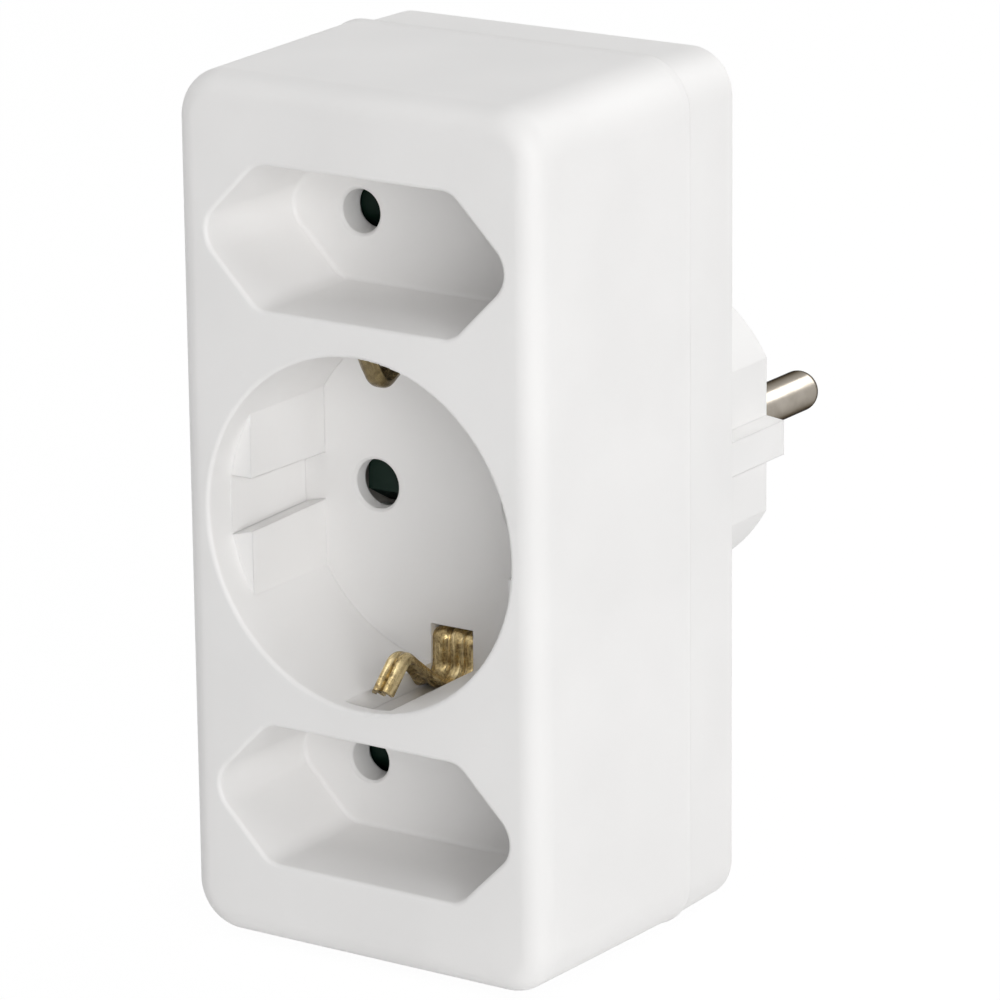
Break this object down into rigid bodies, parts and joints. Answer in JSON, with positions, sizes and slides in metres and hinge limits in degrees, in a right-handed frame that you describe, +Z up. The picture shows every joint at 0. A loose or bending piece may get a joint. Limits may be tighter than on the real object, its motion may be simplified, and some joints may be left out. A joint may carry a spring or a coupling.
{
  "type": "multi socket adapter",
  "caption": "Plug-in mains adapter: a rounded box with one round earthed outlet between flat two-pin outlets on the front and an earthed plug body with round pins on the back.",
  "frame": {"origin": "on the surface that the adapter stands on, under the middle of its outline", "axes": "+Z up along the body's length, the outlets face -Y, the plug's pins point along +Y, +X to the right as seen from the front"},
  "size_m": [0.0476, 0.0772, 0.098],
  "materials": {
    "white_plastic": "satin moulded",
    "carrier_plastic": "matt moulded",
    "shutter_plastic": "satin moulded",
    "brass": "bare stamped",
    "nickel": "bright nickel plate",
    "spring_steel": "drawn wire",
    "zinc_steel": "zinc plated"
  },
  "bodies": {
    "housing": {"front_housing": "white_plastic", "rear_cover": "white_plastic", "contact_carrier": "carrier_plastic", "live_rail": "brass", "neutral_rail": "brass", "live_pin": "nickel", "neutral_pin": "nickel", "socket_earth_bracket": "brass", "plug_earth_bracket": "nickel", "earth_rivet": "brass", "upper_shutter_spring": "spring_steel", "centre_shutter_spring": "spring_steel", "lower_shutter_spring": "spring_steel", "cover_screw_upper_left": "zinc_steel", "carrier_screw_upper_left": "zinc_steel", "cover_screw_upper_right": "zinc_steel", "carrier_screw_upper_right": "zinc_steel", "cover_screw_lower_left": "zinc_steel", "carrier_screw_lower_left": "zinc_steel", "cover_screw_lower_right": "zinc_steel", "carrier_screw_lower_right": "zinc_steel"},
    "upper_shutter": {"upper_shutter": "shutter_plastic"},
    "centre_shutter": {"centre_shutter": "shutter_plastic"},
    "lower_shutter": {"lower_shutter": "shutter_plastic"}
  },
  "joints": [
    {"name": "upper_shutter_turn", "type": "hinge", "parent": "housing", "child": "upper_shutter", "pos_m": [0, -0.02117, 0.0801], "axis": [0, 1, 0], "range_deg": [0, 38], "stiffness_Nm_per_rad": 0.0005, "springref_deg": -28.65, "deforming": ["upper_shutter_spring"]},
    {"name": "centre_shutter_turn", "type": "hinge", "parent": "housing", "child": "centre_shutter", "pos_m": [0, -0.01897, 0.049], "axis": [0, 1, 0], "range_deg": [0, 38], "stiffness_Nm_per_rad": 0.0005, "springref_deg": -28.65, "deforming": ["centre_shutter_spring"]},
    {"name": "lower_shutter_turn", "type": "hinge", "parent": "housing", "child": "lower_shutter", "pos_m": [0, -0.02117, 0.0179], "axis": [0, 1, 0], "range_deg": [0, 38], "stiffness_Nm_per_rad": 0.0005, "springref_deg": -28.65, "deforming": ["lower_shutter_spring"]}
  ]
}
